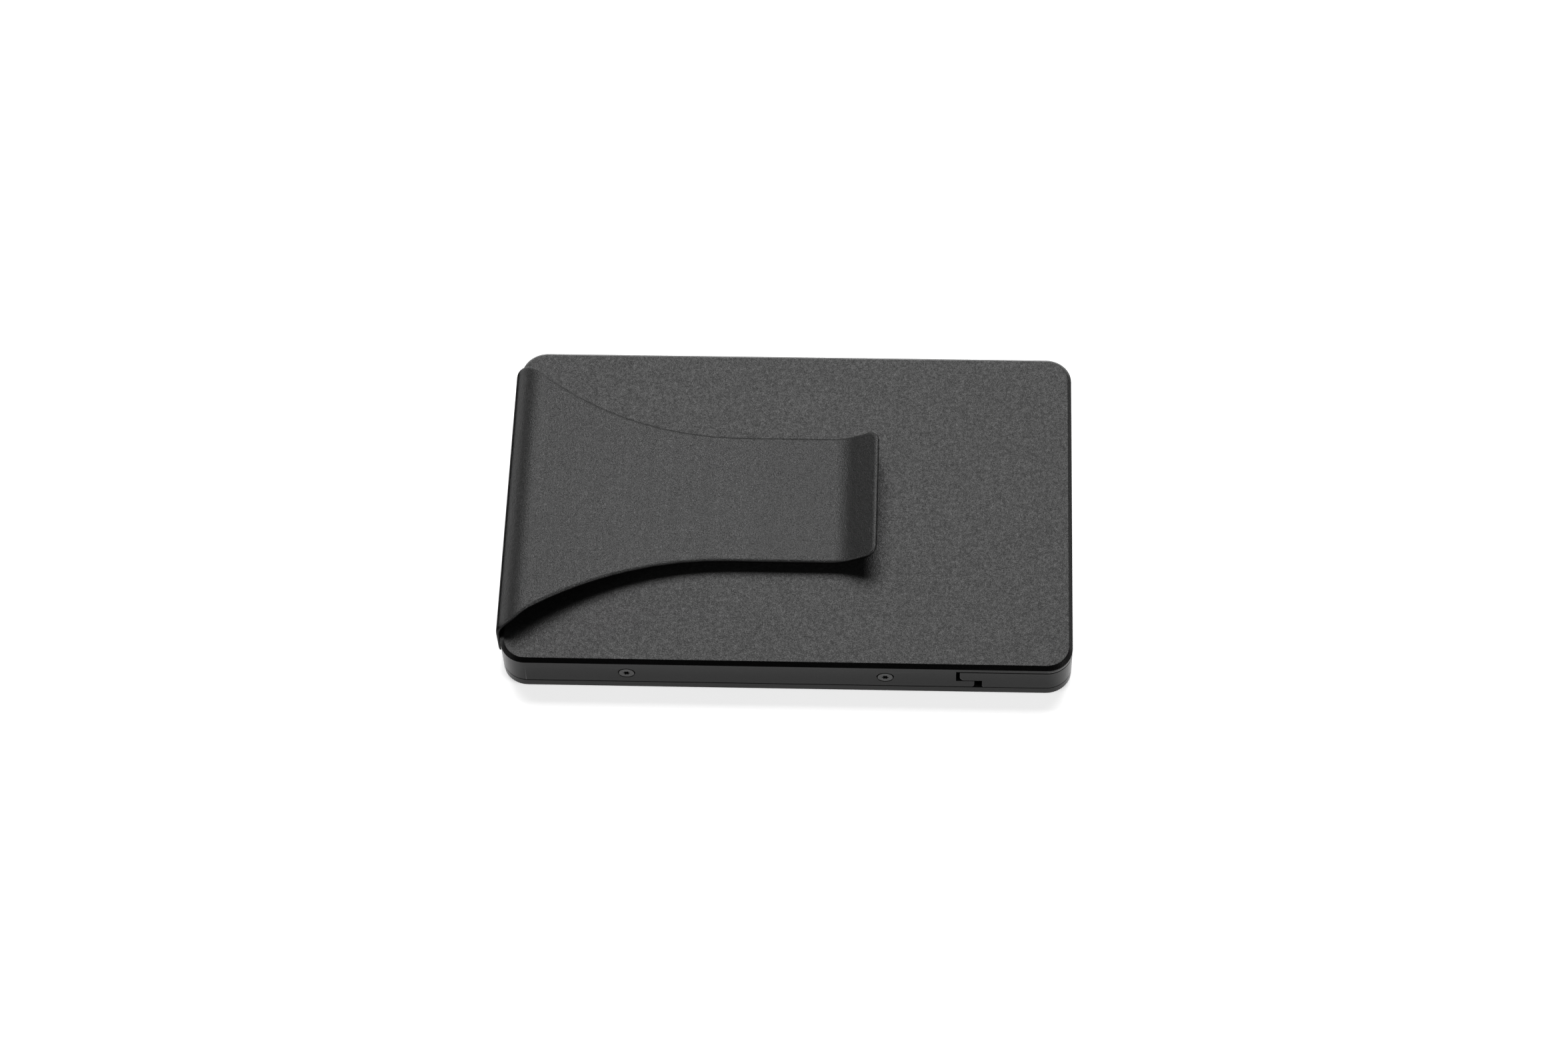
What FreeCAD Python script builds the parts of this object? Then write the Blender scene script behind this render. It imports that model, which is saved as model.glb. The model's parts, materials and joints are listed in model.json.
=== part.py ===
import FreeCAD, Part
import math
import os

# Minimalist metal card wallet: a flat two-plate case with a wrap-round money
# clip on its left end and a sprung flick lever round its front right corner.
# Row frame: origin at the centre of the case's bottom face, +X towards the
# lever end, +Y towards the open card mouth, +Z up to the clip side.
# All sizes are in millimetres.

os.makedirs("parts", exist_ok=True)

V = FreeCAD.Vector

# ---- case envelope ---------------------------------------------------------
LENGTH = 98.6
WIDTH = 63.5
HEIGHT = 9.0
CORNER_R = 4.5
TOP_CHAMFER = 0.7
BOTTOM_CHAMFER = 0.5
TOP_PLATE_T = 1.5
SEAM_Z = 2.1
FLOOR_Z = 1.5
FRONT_WALL_T = 2.0
LEFT_WALL_T = 4.0
SEAM_GROOVE_H = 0.25
SEAM_GROOVE_DEPTH = 0.4

X_LEFT = -LENGTH / 2
X_RIGHT = LENGTH / 2
Y_FRONT = -WIDTH / 2
Y_BACK = WIDTH / 2
CEILING_Z = HEIGHT - TOP_PLATE_T
WALL_IN_Y = Y_FRONT + FRONT_WALL_T
WALL_IN_X = X_LEFT + LEFT_WALL_T

# ---- lap between front wall and lever --------------------------------------
LAP_Z = 4.4
LAP_GAP = 0.2
UPPER_WALL_END_X = 29.36
LOWER_TONGUE_END_X = 32.52
LEVER_TONGUE_END_X = 30.0
LEVER_STEP_X = 33.85
LAP_ROUND = 1.1
STEP_ROUND = 0.45
LAP_BEVEL = 0.5

# ---- flick lever -----------------------------------------------------------
PIVOT_X = X_RIGHT - CORNER_R
PIVOT_Y = Y_FRONT + CORNER_R
LEVER_Z0 = SEAM_Z + 0.2
LEVER_Z1 = CEILING_Z - 0.3
LEVER_T = 2.0
LEVER_END_Y = 24.2
LEVER_FOOT_X = 45.3
LEVER_FOOT_Y = 19.6
HUB_Z0 = 3.0
HUB_Z1 = 4.4
BUSH_R = 1.4
BUSH_BORE_R = 1.05
BUSH_Z1 = 6.6
SHANK_R = 1.0
WASHER_R = 2.3
WASHER_BORE_R = 1.1
WASHER_T = 0.8
STOP_PIN_R = 0.5
STOP_PIN_RADIUS = 3.3
STOP_PIN_ANGLE = -62.0
STOP_SLOT_HALF_W = 0.7
STOP_SLOT_TOP_Z = 3.5
STOP_SLOT_MARGIN = 13.0
LEVER_TRAVEL = 22.0
NOTCH_R = 6.0
NOTCH_DEPTH = 0.7
NOTCH_Y = 17.0

# ---- corner post and ball plunger ------------------------------------------
POST_X = 41.2
POST_Y = 24.6
POST_SCREW_X = 43.2
POST_SCREW_Y = 28.2
PLUNGER_X = 46.6
PLUNGER_Z = 4.8
PLUNGER_R = 1.3
PLUNGER_Y0 = 24.7
PLUNGER_Y1 = 29.6
PLUNGER_BORE_Y1 = 28.6
BALL_R = 0.8
BALL_Y = 25.2

# ---- screws ----------------------------------------------------------------
SCREW_R = 0.8
HEAD_R = 1.5
HEAD_H = 0.8
SOCKET_R = 0.6
SOCKET_DEPTH = 0.7
LOBE_RATIO = 0.26
TAP_CLEARANCE = 0.02
HEAD_RING = 0.12
SIDE_SCREW_XS = (-27.4, 17.2)
SIDE_SCREW_Z = 5.2
SIDE_SCREW_TIP_Y = -27.6
SIDE_HEAD_R = 1.3
SIDE_HEAD_RING = 0.25
END_SCREW_X = -47.2
END_SCREW_YS = (-24.5, 24.5)
BOTTOM_SCREW_LENGTH = 6.2
LUG_W = 5.0
LUG_IN_Y = -27.0

# ---- money clip ------------------------------------------------------------
CLIP_T = 0.8
CLIP_X = X_LEFT - CLIP_T
WEB_Z0 = 2.3
WEB_Z1 = 8.35
WEB_CORNER_R = 1.5
ARM_Z0 = 8.45
BEND_R = 5.3
TONGUE_HALF_W = 12.66
FLARE_R = 58.5
FLARE_START_X = -10.0
WEB_HALF_W = 26.6
SHOULDER_R = 6.0
LIP_CORNER_R = 2.0
TIP_X = 15.1
CLIP_SCREW_YS = (-18.0, 18.0)
CLIP_SCREW_Z = 5.3
CLIP_SCREW_DEPTH = 2.6

# ---- inside the card bay ---------------------------------------------------
LINER_T = 0.4
LINER_X0 = -45.1
LINER_X1 = 40.8
LINER_Y0 = -26.8
LINER_Y1 = 31.2
LINER_NOTCH_X = 26.5
LINER_NOTCH_Y = -22.8
RAIL_X0 = 41.0
RAIL_X1 = 42.0
RAIL_Y0 = -21.0
RAIL_Y1 = 24.3
LEAF_T = 0.2
LEAF_HALF_W = 5.0
LEAF_FOOT_X0 = -35.0
LEAF_FOOT_LENGTH = 7.0
LEAF_RISE = 1.0
LEAF_SPAN = 40.0
LEAF_WINDOW_MARGIN = 1.2
RIVET_X = -31.5
RIVET_YS = (-2.5, 2.5)
RIVET_R = 0.6
RIVET_HEAD_R = 1.2
RIVET_HEAD_H = 0.25

# ---- fan pusher ------------------------------------------------------------
PUSHER_X1 = 39.5
PUSHER_PAD_X0 = 34.2
PUSHER_GAP = 0.3
PUSHER_Z0 = 2.3
PUSHER_Z1 = 6.9
PUSHER_STEP_XS = (21.5, 27.0, 32.5)
PUSHER_FACE_Y = -26.6
PUSHER_NOSE_R = 1.2
PUSHER_SCREW_XS = (35.7, 38.2)
PUSHER_SCREW_Z = 4.7
PUSHER_SCREW_R = 0.6
PUSHER_SCREW_HEAD_R = 1.0
PUSHER_SCREW_HEAD_H = 0.7

# ---- lever spring ----------------------------------------------------------
WIRE_R = 0.2
COIL_R = 1.75
COIL_PITCH = 0.5
COIL_TURNS = 3.25
COIL_Z0 = 4.75
MOVING_LEG_END_X = 40.0
FIXED_LEG_END_Y = -19.0
SPRING_HOLE_Z = 0.9


def box(x0, x1, y0, y1, z0, z1):
    return Part.makeBox(x1 - x0, y1 - y0, z1 - z0, V(x0, y0, z0))


def rod(radius, z0, z1, x, y):
    return Part.makeCylinder(radius, z1 - z0, V(x, y, z0), V(0, 0, 1))


def rod_y(radius, y0, y1, x, z):
    return Part.makeCylinder(radius, y1 - y0, V(x, y0, z), V(0, 1, 0))


def rod_x(radius, x0, x1, y, z):
    return Part.makeCylinder(radius, x1 - x0, V(x0, y, z), V(1, 0, 0))


def rounded_prism(x0, x1, y0, y1, z0, z1, radius):
    block = box(x0, x1, y0, y1, z0, z1)
    uprights = []
    for edge in block.Edges:
        if abs(edge.tangentAt(edge.FirstParameter).z) > 0.99:
            uprights.append(edge)
    return block.makeFillet(radius, uprights)


def outline_prism(inset, z0, z1):
    return rounded_prism(X_LEFT + inset, X_RIGHT - inset, Y_FRONT + inset, Y_BACK - inset,
                         z0, z1, CORNER_R - inset)


def bevel_band(z_wide, z_narrow, size):
    # Lofted slice between the full outline and the same outline inset by size.
    wide = outline_prism(0.0, min(z_wide, z_narrow), max(z_wide, z_narrow))
    cutters = []
    up = 1.0 if z_narrow > z_wide else -1.0
    for face in wide.Faces:
        normal = face.normalAt(0, 0)
        if abs(normal.z) > 0.99 and normal.z * up > 0:
            cutters = face.Edges
    return wide.makeChamfer(size * 0.999, cutters)


def lobed_socket(radius, depth):
    # Six-lobe driver recess, opening at z = 0 and going up.
    lobe_r = radius * LOBE_RATIO
    socket = Part.makeCylinder(radius - lobe_r, depth, V(0, 0, -0.01))
    for i in range(6):
        angle = math.radians(60 * i)
        centre = V((radius - lobe_r) * math.cos(angle), (radius - lobe_r) * math.sin(angle), -0.01)
        socket = socket.fuse(Part.makeCylinder(lobe_r, depth, centre))
    return socket.removeSplitter()


def countersunk_screw(head_r, head_h, shank_r, length, socket_r, socket_depth):
    # Head face on z = 0, shank along +Z.
    head = Part.makeCone(head_r, shank_r, head_h)
    shank = Part.makeCylinder(shank_r, length)
    tip = Part.makeCone(shank_r, shank_r * 0.7, 0.3, V(0, 0, length))
    screw = head.fuse(shank).fuse(tip)
    return screw.cut(lobed_socket(socket_r, socket_depth)).removeSplitter()


def sink(head_r, head_h, shank_r, length, ring=HEAD_RING):
    # The hole for a countersunk screw, with a thin ring of air round the head.
    ring_r = head_r + ring
    hole_r = shank_r + TAP_CLEARANCE
    cone = Part.makeCone(ring_r, hole_r, head_h + ring * 0.6)
    return cone.fuse(Part.makeCylinder(hole_r, length))


def turned(shape, axis, angle, position):
    placed = shape.copy()
    placed.rotate(V(0, 0, 0), axis, angle)
    placed.translate(position)
    return placed


def side_screw_places():
    return [V(x, Y_FRONT, SIDE_SCREW_Z) for x in SIDE_SCREW_XS]


def bottom_screw_places():
    places = [V(END_SCREW_X, y, 0) for y in END_SCREW_YS]
    places.append(V(POST_SCREW_X, POST_SCREW_Y, 0))
    return places


def save(node, shape):
    shape.exportStep("parts/" + node + ".step")


# ---- case ------------------------------------------------------------------

def make_top_shell():
    plate = outline_prism(0.0, CEILING_Z, HEIGHT - TOP_CHAMFER)
    plate = plate.fuse(bevel_band(HEIGHT - TOP_CHAMFER, HEIGHT, TOP_CHAMFER))
    core = outline_prism(0.0, SEAM_Z, CEILING_Z)
    end_wall = core.common(box(X_LEFT, WALL_IN_X, Y_FRONT, Y_BACK, SEAM_Z, CEILING_Z))
    front = core.common(box(X_LEFT, UPPER_WALL_END_X, Y_FRONT, WALL_IN_Y, SEAM_Z, CEILING_Z))
    tongue = make_lower_tongue()
    post = core.common(box(POST_X, X_RIGHT, POST_Y, Y_BACK, SEAM_Z, CEILING_Z))
    shell = plate.fuse(end_wall).fuse(front).fuse(tongue).fuse(post)
    shell = shell.cut(make_wall_end_bevel())
    groove = outline_prism(-0.1, SEAM_Z - 0.1, SEAM_Z + SEAM_GROOVE_H)
    groove = groove.cut(outline_prism(SEAM_GROOVE_DEPTH, SEAM_Z - 0.2, SEAM_Z + 0.5))
    shell = shell.cut(groove)
    for place in side_screw_places():
        hole = sink(SIDE_HEAD_R, HEAD_H, SCREW_R, FRONT_WALL_T + 0.1, SIDE_HEAD_RING)
        shell = shell.cut(turned(hole, V(1, 0, 0), -90, place))
    for place in bottom_screw_places():
        tapped = rod(SCREW_R + TAP_CLEARANCE, SEAM_Z - 0.1, BOTTOM_SCREW_LENGTH + 0.5, place.x, place.y)
        shell = shell.cut(tapped)
    for y in CLIP_SCREW_YS:
        shell = shell.cut(rod_x(SCREW_R + TAP_CLEARANCE, X_LEFT - 0.1, X_LEFT + CLIP_SCREW_DEPTH + 0.4,
                                y, CLIP_SCREW_Z))
    shell = shell.cut(rod(SCREW_R, CEILING_Z - 0.1, CEILING_Z + 1.0, PIVOT_X, PIVOT_Y))
    shell = shell.cut(rod_y(PLUNGER_R + TAP_CLEARANCE, POST_Y - 0.1, PLUNGER_Y1 + 0.1, PLUNGER_X, PLUNGER_Z))
    return shell.removeSplitter()


def make_lower_tongue():
    # Lower half of the lap: the front wall runs on under the lever's tongue.
    tongue = box(UPPER_WALL_END_X - 2.0, LOWER_TONGUE_END_X, Y_FRONT, WALL_IN_Y,
                 SEAM_Z, LAP_Z - LAP_GAP / 2)
    ends = []
    for edge in tongue.Edges:
        middle = edge.CenterOfMass
        across = abs(edge.tangentAt(edge.FirstParameter).y) > 0.99
        if across and middle.x > LOWER_TONGUE_END_X - 0.01 and middle.z < SEAM_Z + 0.01:
            ends.append(edge)
    return tongue.makeFillet(LAP_ROUND, ends)


def make_wall_end_bevel():
    # Relief on the inner edge of the front wall, for the tongue swinging past.
    corners = [V(UPPER_WALL_END_X + 0.1, WALL_IN_Y - LAP_BEVEL - 0.4, LAP_Z - LAP_GAP / 2),
               V(UPPER_WALL_END_X + 0.1, WALL_IN_Y + 0.1, LAP_Z - LAP_GAP / 2),
               V(UPPER_WALL_END_X - LAP_BEVEL - 0.1, WALL_IN_Y + 0.1, LAP_Z - LAP_GAP / 2),
               V(UPPER_WALL_END_X + 0.1, WALL_IN_Y - LAP_BEVEL - 0.4, LAP_Z - LAP_GAP / 2)]
    face = Part.Face(Part.makePolygon(corners))
    return face.extrude(V(0, 0, CEILING_Z - LAP_Z + LAP_GAP / 2))


def make_bottom_plate():
    plate = outline_prism(0.0, BOTTOM_CHAMFER, SEAM_Z)
    plate = plate.fuse(bevel_band(BOTTOM_CHAMFER, 0.0, BOTTOM_CHAMFER))
    pocket = box(WALL_IN_X, X_RIGHT - LEVER_T, WALL_IN_Y, POST_Y, FLOOR_Z, HEIGHT)
    mouth = box(WALL_IN_X, POST_X, WALL_IN_Y, Y_BACK + 1.0, FLOOR_Z, HEIGHT)
    plate = plate.cut(pocket).cut(mouth)
    plate = plate.fuse(rod(WASHER_R + 0.1, FLOOR_Z - 0.5, SEAM_Z, PIVOT_X, PIVOT_Y))
    for place in bottom_screw_places():
        plate = plate.cut(turned(sink(HEAD_R, HEAD_H, SCREW_R, SEAM_Z + 0.1), V(1, 0, 0), 0, place))
    pivot_hole = sink(HEAD_R + 0.1, HEAD_H, SHANK_R, SEAM_Z + 0.1)
    plate = plate.cut(turned(pivot_hole, V(1, 0, 0), 0, V(PIVOT_X, PIVOT_Y, 0)))
    stop = stop_pin_centre()
    plate = plate.cut(rod(STOP_PIN_R, FLOOR_Z - 0.5, SEAM_Z + 0.1, stop.x, stop.y))
    plate = plate.cut(rod(WIRE_R + 0.1, SPRING_HOLE_Z, FLOOR_Z + 0.1, PIVOT_X - COIL_R, FIXED_LEG_END_Y))
    for y in RIVET_YS:
        plate = plate.cut(rod(RIVET_R, FLOOR_Z - 0.7, FLOOR_Z + 0.1, RIVET_X, y))
    return plate.removeSplitter()


def stop_pin_centre():
    angle = math.radians(STOP_PIN_ANGLE)
    return V(PIVOT_X + STOP_PIN_RADIUS * math.cos(angle), PIVOT_Y + STOP_PIN_RADIUS * math.sin(angle), 0)


def make_front_lugs():
    # Tapped blocks that tie the front wall to the bottom plate.
    lugs = []
    for place in side_screw_places():
        lug = box(place.x - LUG_W / 2, place.x + LUG_W / 2, WALL_IN_Y, LUG_IN_Y, FLOOR_Z, CEILING_Z)
        hole = rod_y(SCREW_R + TAP_CLEARANCE, WALL_IN_Y - 0.1, LUG_IN_Y + 0.1, place.x, place.z)
        lugs.append(lug.cut(hole))
    return Part.makeCompound(lugs)


def make_side_screws():
    length = SIDE_SCREW_TIP_Y - 0.3 - Y_FRONT
    screw = countersunk_screw(SIDE_HEAD_R, HEAD_H, SCREW_R, length, SOCKET_R, SOCKET_DEPTH)
    return Part.makeCompound([turned(screw, V(1, 0, 0), -90, place) for place in side_screw_places()])


def make_bottom_screws():
    screw = countersunk_screw(HEAD_R, HEAD_H, SCREW_R, BOTTOM_SCREW_LENGTH, SOCKET_R, SOCKET_DEPTH)
    return Part.makeCompound([turned(screw, V(0, 0, 1), 0, place) for place in bottom_screw_places()])


def make_upper_liner():
    # Its front right corner is cut away where the lever's tail swings in.
    sheet = rounded_prism(LINER_X0, LINER_X1, LINER_Y0, LINER_Y1, CEILING_Z - LINER_T, CEILING_Z, 1.0)
    return sheet.cut(box(LINER_NOTCH_X, LINER_X1 + 1.0, LINER_Y0 - 1.0, LINER_NOTCH_Y,
                         CEILING_Z - 1.0, CEILING_Z + 1.0))


def make_lower_liner():
    sheet = rounded_prism(LINER_X0, LINER_X1, LINER_Y0, LINER_Y1, FLOOR_Z, FLOOR_Z + LINER_T, 1.0)
    margin = LEAF_WINDOW_MARGIN
    leaf_end_x = LEAF_FOOT_X0 + LEAF_FOOT_LENGTH + LEAF_SPAN + 2.0
    window = rounded_prism(LEAF_FOOT_X0 - margin, leaf_end_x + margin, -LEAF_HALF_W - margin,
                           LEAF_HALF_W + margin, FLOOR_Z - 1.0, FLOOR_Z + 1.0, 1.0)
    return sheet.cut(window)


def make_card_rail():
    return box(RAIL_X0, RAIL_X1, RAIL_Y0, RAIL_Y1, FLOOR_Z, CEILING_Z)


def make_tension_leaf():
    # Flat foot, a long shallow bow and a flat sliding end.
    foot_end_x = LEAF_FOOT_X0 + LEAF_FOOT_LENGTH
    bow_end_x = foot_end_x + LEAF_SPAN
    end_x = bow_end_x + 2.0
    z0 = FLOOR_Z
    z1 = FLOOR_Z + LEAF_T
    middle_x = (foot_end_x + bow_end_x) / 2
    low_bow = Part.Arc(V(foot_end_x, 0, z0), V(middle_x, 0, z0 + LEAF_RISE), V(bow_end_x, 0, z0)).toShape()
    high_bow = Part.Arc(V(bow_end_x, 0, z1), V(middle_x, 0, z1 + LEAF_RISE), V(foot_end_x, 0, z1)).toShape()
    wire = Part.Wire([
        Part.makeLine(V(LEAF_FOOT_X0, 0, z0), V(foot_end_x, 0, z0)),
        low_bow,
        Part.makeLine(V(bow_end_x, 0, z0), V(end_x, 0, z0)),
        Part.makeLine(V(end_x, 0, z0), V(end_x, 0, z1)),
        Part.makeLine(V(end_x, 0, z1), V(bow_end_x, 0, z1)),
        high_bow,
        Part.makeLine(V(foot_end_x, 0, z1), V(LEAF_FOOT_X0, 0, z1)),
        Part.makeLine(V(LEAF_FOOT_X0, 0, z1), V(LEAF_FOOT_X0, 0, z0)),
    ])
    leaf = Part.Face(wire).extrude(V(0, 2 * LEAF_HALF_W, 0))
    leaf.translate(V(0, -LEAF_HALF_W, 0))
    for y in RIVET_YS:
        leaf = leaf.cut(rod(RIVET_R, z0 - 0.1, z1 + 0.1, RIVET_X, y))
    return leaf


def make_leaf_rivets():
    rivets = []
    for y in RIVET_YS:
        shank = rod(RIVET_R, FLOOR_Z - 0.7, FLOOR_Z + LEAF_T, RIVET_X, y)
        head = rod(RIVET_HEAD_R, FLOOR_Z + LEAF_T, FLOOR_Z + LEAF_T + RIVET_HEAD_H, RIVET_X, y)
        rivets.append(shank.fuse(head).removeSplitter())
    return Part.makeCompound(rivets)


# ---- lever pivot -----------------------------------------------------------

def make_pivot_screw():
    screw = countersunk_screw(HEAD_R + 0.1, HEAD_H, SHANK_R, CEILING_Z - 0.3, SOCKET_R, SOCKET_DEPTH)
    thread = rod(SCREW_R - TAP_CLEARANCE, CEILING_Z - 0.4, CEILING_Z + 0.9, 0, 0)
    screw = screw.fuse(thread).removeSplitter()
    return turned(screw, V(0, 0, 1), 0, V(PIVOT_X, PIVOT_Y, 0))


def make_washer(z0):
    disc = rod(WASHER_R, z0, z0 + WASHER_T, PIVOT_X, PIVOT_Y)
    return disc.cut(rod(WASHER_BORE_R, z0 - 0.1, z0 + WASHER_T + 0.1, PIVOT_X, PIVOT_Y))


def make_lever_bush():
    tube = rod(BUSH_R, HUB_Z0, BUSH_Z1, PIVOT_X, PIVOT_Y)
    return tube.cut(rod(BUSH_BORE_R, HUB_Z0 - 0.1, BUSH_Z1 + 0.1, PIVOT_X, PIVOT_Y))


def make_stop_pin():
    centre = stop_pin_centre()
    return rod(STOP_PIN_R, FLOOR_Z - 0.5, STOP_SLOT_TOP_Z - 0.3, centre.x, centre.y)


def make_lever_spring():
    # Torsion coil round the bush: one leg bears on the lever's tail, the other
    # turns down into a hole in the bottom plate.
    top_z = COIL_Z0 + COIL_PITCH * COIL_TURNS
    helix = Part.makeHelix(COIL_PITCH, COIL_PITCH * COIL_TURNS, COIL_R)
    helix.rotate(V(0, 0, 0), V(0, 0, 1), 180)
    helix.translate(V(PIVOT_X, PIVOT_Y, COIL_Z0))
    ring = Part.Wire([Part.makeCircle(WIRE_R, V(PIVOT_X - COIL_R, PIVOT_Y, COIL_Z0), V(0, 1, 0))])
    coil = Part.Wire(helix.Edges).makePipeShell([ring], True, True)
    fixed_start = V(PIVOT_X - COIL_R, PIVOT_Y, COIL_Z0)
    fixed_corner = V(PIVOT_X - COIL_R, FIXED_LEG_END_Y, COIL_Z0)
    fixed_end = V(PIVOT_X - COIL_R, FIXED_LEG_END_Y, SPRING_HOLE_Z + 0.1)
    moving_start = V(PIVOT_X, PIVOT_Y - COIL_R, top_z)
    moving_end = V(MOVING_LEG_END_X, WALL_IN_Y + WIRE_R + 0.05, top_z)
    spring = coil
    for start, end in ((fixed_start, fixed_corner), (fixed_corner, fixed_end), (moving_start, moving_end)):
        leg = Part.makeCylinder(WIRE_R, start.distanceToPoint(end), start, end - start)
        spring = spring.fuse(leg)
    for joint in (fixed_start, fixed_corner, moving_start):
        spring = spring.fuse(Part.makeSphere(WIRE_R, joint))
    return spring


# ---- flick lever -----------------------------------------------------------

def make_flick_lever():
    # Bell crank round the front right corner: short tail in the front wall,
    # long band across the right end.
    full = outline_prism(0.0, LEVER_Z0, LEVER_Z1)
    tail = box(LEVER_STEP_X, PIVOT_X, Y_FRONT, WALL_IN_Y, LEVER_Z0, LEVER_Z1)
    foot_of_step = []
    for edge in tail.Edges:
        middle = edge.CenterOfMass
        across = abs(edge.tangentAt(edge.FirstParameter).y) > 0.99
        if across and middle.x < LEVER_STEP_X + 0.01 and middle.z < LEVER_Z0 + 0.01:
            foot_of_step.append(edge)
    tail = tail.makeFillet(STEP_ROUND, foot_of_step)
    band = full.common(box(X_RIGHT - LEVER_T, X_RIGHT, PIVOT_Y, LEVER_END_Y, LEVER_Z0, LEVER_Z1))
    corner = full.common(box(PIVOT_X, X_RIGHT, Y_FRONT, PIVOT_Y, LEVER_Z0, LEVER_Z1))
    corner = corner.cut(rod(CORNER_R - LEVER_T, LEVER_Z0 - 0.1, LEVER_Z1 + 0.1, PIVOT_X, PIVOT_Y))
    foot = box(LEVER_FOOT_X, X_RIGHT, LEVER_FOOT_Y, LEVER_END_Y, LEVER_Z0, LEVER_Z1)
    hub = rod(CORNER_R - LEVER_T + 0.3, HUB_Z0, HUB_Z1, PIVOT_X, PIVOT_Y)
    lever = tail.fuse(band).fuse(corner).fuse(foot).fuse(hub).fuse(make_upper_tongue())
    lever = lever.cut(rod(BUSH_R, HUB_Z0 - 0.1, HUB_Z1 + 0.1, PIVOT_X, PIVOT_Y))
    lever = lever.cut(make_stop_slot())
    lever = lever.cut(rod(NOTCH_R, LEVER_Z0 - 1, LEVER_Z1 + 1, X_RIGHT + NOTCH_R - NOTCH_DEPTH, NOTCH_Y))
    dimple = Part.makeSphere(BALL_R + 0.1, V(PLUNGER_X, BALL_Y - 0.25, PLUNGER_Z))
    lever = lever.cut(dimple)
    for x in PUSHER_SCREW_XS:
        lever = lever.cut(rod_y(PUSHER_SCREW_R, WALL_IN_Y - 1.3, WALL_IN_Y + 0.1, x, PUSHER_SCREW_Z))
    return lever.removeSplitter()


def make_upper_tongue():
    tongue = box(LEVER_TONGUE_END_X, LEVER_STEP_X + 1.0, Y_FRONT, WALL_IN_Y,
                 LAP_Z + LAP_GAP / 2, LEVER_Z1)
    ends = []
    for edge in tongue.Edges:
        middle = edge.CenterOfMass
        across = abs(edge.tangentAt(edge.FirstParameter).y) > 0.99
        if across and middle.x < LEVER_TONGUE_END_X + 0.01 and middle.z < LAP_Z + LAP_GAP:
            ends.append(edge)
    return tongue.makeFillet(LAP_ROUND, ends)


def make_stop_slot():
    # Arc groove in the underside of the corner, for the pin that ends the swing.
    start = STOP_PIN_ANGLE - STOP_SLOT_MARGIN
    sweep = LEVER_TRAVEL + 2 * STOP_SLOT_MARGIN
    height = STOP_SLOT_TOP_Z - LEVER_Z0 + 0.1
    base = V(0, 0, 0)
    outer = Part.makeCylinder(STOP_PIN_RADIUS + STOP_SLOT_HALF_W, height, base, V(0, 0, 1), sweep)
    inner = Part.makeCylinder(STOP_PIN_RADIUS - STOP_SLOT_HALF_W, height, base, V(0, 0, 1), sweep)
    slot = outer.cut(inner)
    slot.rotate(base, V(0, 0, 1), start)
    slot.translate(V(PIVOT_X, PIVOT_Y, LEVER_Z0 - 0.1))
    return slot


def make_fan_pusher():
    # Staircase of three bars; the longest, lowest one pushes its card furthest.
    layer_h = (PUSHER_Z1 - PUSHER_Z0) / len(PUSHER_STEP_XS)
    back_y = WALL_IN_Y + PUSHER_GAP
    pusher = box(PUSHER_PAD_X0, PUSHER_X1, WALL_IN_Y, PUSHER_FACE_Y, PUSHER_Z0, PUSHER_Z1)
    for i, start_x in enumerate(PUSHER_STEP_XS):
        z0 = PUSHER_Z0 + layer_h * i
        bar = rounded_prism(start_x, PUSHER_X1, back_y, PUSHER_FACE_Y, z0, z0 + layer_h, PUSHER_NOSE_R)
        pusher = pusher.fuse(bar)
    for x in PUSHER_SCREW_XS:
        pusher = pusher.cut(rod_y(PUSHER_SCREW_R + TAP_CLEARANCE, WALL_IN_Y - 0.1, PUSHER_FACE_Y + 0.1,
                                  x, PUSHER_SCREW_Z))
        pusher = pusher.cut(rod_y(PUSHER_SCREW_HEAD_R + 0.1, PUSHER_FACE_Y - PUSHER_SCREW_HEAD_H - 0.1,
                                  PUSHER_FACE_Y + 0.1, x, PUSHER_SCREW_Z))
    return pusher.removeSplitter()


def make_pusher_screws():
    screws = []
    for x in PUSHER_SCREW_XS:
        seat_y = PUSHER_FACE_Y - PUSHER_SCREW_HEAD_H - 0.1
        head = rod_y(PUSHER_SCREW_HEAD_R, seat_y, seat_y + PUSHER_SCREW_HEAD_H, x, PUSHER_SCREW_Z)
        shank = rod_y(PUSHER_SCREW_R, WALL_IN_Y - 1.2, seat_y, x, PUSHER_SCREW_Z)
        slot = box(x - 0.9, x + 0.9, seat_y + 0.4, seat_y + 1.0, PUSHER_SCREW_Z - 0.15, PUSHER_SCREW_Z + 0.15)
        screws.append(head.fuse(shank).cut(slot).removeSplitter())
    return Part.makeCompound(screws)


# ---- ball plunger ----------------------------------------------------------

def make_plunger_body():
    body = rod_y(PLUNGER_R, PLUNGER_Y0, PLUNGER_Y1, PLUNGER_X, PLUNGER_Z)
    body = body.cut(rod_y(BALL_R + 0.05, BALL_Y - 0.3, PLUNGER_BORE_Y1, PLUNGER_X, PLUNGER_Z))
    return body.cut(rod_y(BALL_R - 0.04, PLUNGER_Y0 - 0.1, BALL_Y, PLUNGER_X, PLUNGER_Z))


def make_plunger_ball():
    return Part.makeSphere(BALL_R, V(PLUNGER_X, BALL_Y, PLUNGER_Z))


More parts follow.
